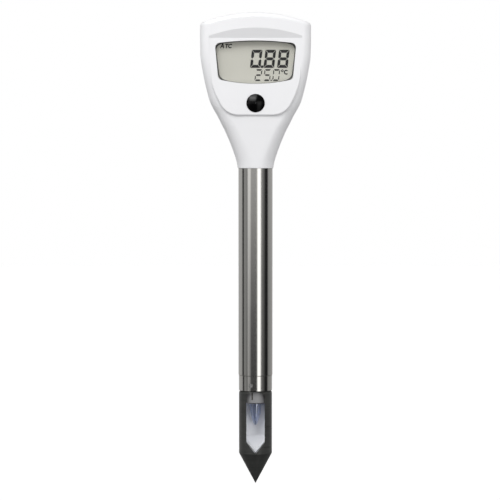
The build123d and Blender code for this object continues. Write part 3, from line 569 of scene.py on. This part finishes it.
def studio_world():
    """White to the camera. Mirrors see a ring of bright and dark panels, and the rest a pale dome."""
    world = bpy.data.worlds.new("studio")
    world.use_nodes = True
    bpy.context.scene.world = world
    paint = Paint(world.node_tree)

    def level_along(value, stops):
        return Number(paint, paint.ramp(value, stops))

    place = paint.node("ShaderNodeTexCoord").outputs["Generated"]
    direction = paint.node("ShaderNodeSeparateXYZ", {0: place})
    x, y, z = (Number(paint, direction.outputs[axis]) for axis in range(3))
    bearing = x.worked("ARCTAN2", y * -1.0) / (2 * math.pi) + 0.5
    panels = [(degrees / 360 + 0.5, level) for degrees, level in PANELS]
    round_object = level_along(bearing, panels)
    # The middle of the front darkens below the horizon
    dip = level_along(z * 3.5 + 0.6, FRONT_DIP)
    front = level_along(bearing, FRONT_SHADE)
    belt = round_object * (1 - front * (1 - dip))
    below = level_along(z * -1.0, BELT_FADE)
    above = level_along(z, [(0.0, 0.0), (0.13, 0.0), (0.26, 1.0), (1.0, 1.0)])
    dome = level_along(z * 0.5 + 0.5, DOME)
    # Over the belt a polished surface mirrors a dark room with a soft window high on the left
    across = level_along(bearing, [(0.36, 0.0), (0.4, 1.0), (0.48, 1.0), (0.52, 0.0)])
    window = across * level_along(z, [(0.2, 0.0), (0.34, 1.0), (0.6, 1.0), (0.72, 0.0)])
    room = window * WINDOW_LEVEL + ROOM_LEVEL
    mirrored = belt * below * (1 - above) + room * above
    camera_ray = paint.number("ShaderNodeLightPath", "Is Camera Ray")
    glossy_ray = paint.number("ShaderNodeLightPath", "Is Glossy Ray")
    level = (mirrored * glossy_ray + dome * (1 - glossy_ray)) * (1 - camera_ray) + camera_ray
    background = paint.node("ShaderNodeBackground", {"Color": (1, 1, 1), "Strength": level})
    paint.node("ShaderNodeOutputWorld", {"Surface": background.outputs[0]})


WINDOW_LEVEL = 5.5
ROOM_LEVEL = 0.04
FRONT_DIP = [(0.0, 0.02), (0.27, 0.03), (0.36, 0.14), (0.47, 0.42), (0.6, 1.0)]
BELT_FADE = [(0.0, 1.0), (0.14, 1.0), (0.24, 0.6), (0.55, 0.45), (0.9, 0.1), (1.0, 0.05)]
DOME = [(0.0, 0.15), (0.4, 0.3), (0.5, 0.6), (0.75, 0.62), (1.0, 0.5)]
# Bearing in degrees from the front, right positive, and how bright the room is there
PANELS = [
    (-180, 0.55),
    (-104, 0.5),
    (-98, 0.03),
    (-88, 0.03),
    (-82, 0.38),
    (-58, 0.3),
    (-50, 1.1),
    (-36, 1.1),
    (-30, 0.55),
    (8, 0.55),
    (16, 1.7),
    (34, 1.7),
    (40, 0.42),
    (62, 0.14),
    (70, 0.02),
    (88, 0.02),
    (97, 0.42),
    (180, 0.55),
]
# Bearing as a share of a turn, and how strongly the dip shows there
FRONT_SHADE = [
    (0.0, 0.0),
    (0.3, 0.25),
    (0.37, 0.72),
    (0.42, 1.0),
    (0.52, 1.0),
    (0.545, 0.0),
    (0.59, 0.1),
    (0.61, 0.6),
    (0.7, 0.5),
    (1.0, 0.0),
]
studio_world()

head_middle = Vector((0, 0, middle_z * 0.8))
tip_middle = Vector((0, 0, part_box("guard_liner")[1].z - 10 * MM))
softbox("key", (-0.2, -0.51, 0.55), head_middle, 0.6, 0.4, 3.6)
softbox("low_fill", (0.35, -0.8, -0.1), tip_middle, 0.3, 0.3, 1.0, mirrored=False)
softbox("side_fill", (-0.8, -0.3, 0.05), head_middle, 0.5, 0.7, 0.9, mirrored=False)
softbox("right_fill", (0.8, -0.25, 0.05), head_middle, 0.5, 0.7, 1.1, mirrored=False)
softbox("back_fill", (-0.35, 0.85, 0.3), head_middle, 0.5, 0.5, 1.3, mirrored=False)
softbox("overhead", (0.0, 0.3, 0.95), head_middle, 0.8, 0.5, 0.3, mirrored=False)

FLOOR_DROP = 0.3
floor_mesh = bpy.data.meshes.new("floor")
ground = bmesh.new()
bmesh.ops.create_grid(ground, x_segments=8, y_segments=8, size=9.0)
ground.to_mesh(floor_mesh)
ground.free()
floor = bpy.data.objects.new("floor", floor_mesh)
bpy.context.scene.collection.objects.link(floor)
floor.location.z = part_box("tip_guard")[0].z - FLOOR_DROP
pale, pale_paint = new_finish("pale_floor")
pale_cloud = pale_paint.noise(pale_paint.place(), 1.5)
pale_paint.show(
    pale_paint.node(
        "ShaderNodeBsdfPrincipled",
        {
            "Base Color": pale_paint.between(pale_cloud, (0.93, 0.93, 0.93), (0.95, 0.95, 0.95)),
            "Roughness": 0.8,
            "Emission Color": (1, 1, 1),
            "Emission Strength": 0.5,
        },
    )
)
floor_mesh.materials.append(pale)
floor.visible_glossy = False
floor.visible_diffuse = False

# ---------------------------------------------------------------- camera
CAMERA_DISTANCE = 1.0
FRAME_WIDTH = 0.22725  # what the camera takes in, at the probe
lens = bpy.data.cameras.new("camera")
lens.sensor_width = 36.0
lens.lens = lens.sensor_width * CAMERA_DISTANCE / FRAME_WIDTH
camera = bpy.data.objects.new("camera", lens)
bpy.context.scene.collection.objects.link(camera)
aim = Vector((-2.5 * MM, 0, -37.1 * MM))
camera.location = Vector((aim.x, -CAMERA_DISTANCE, 0))
camera.rotation_mode = "QUATERNION"
camera.rotation_quaternion = (aim - camera.location).to_track_quat("-Z", "Y")
bpy.context.scene.camera = camera
bpy.context.scene.view_settings.view_transform = "Standard"
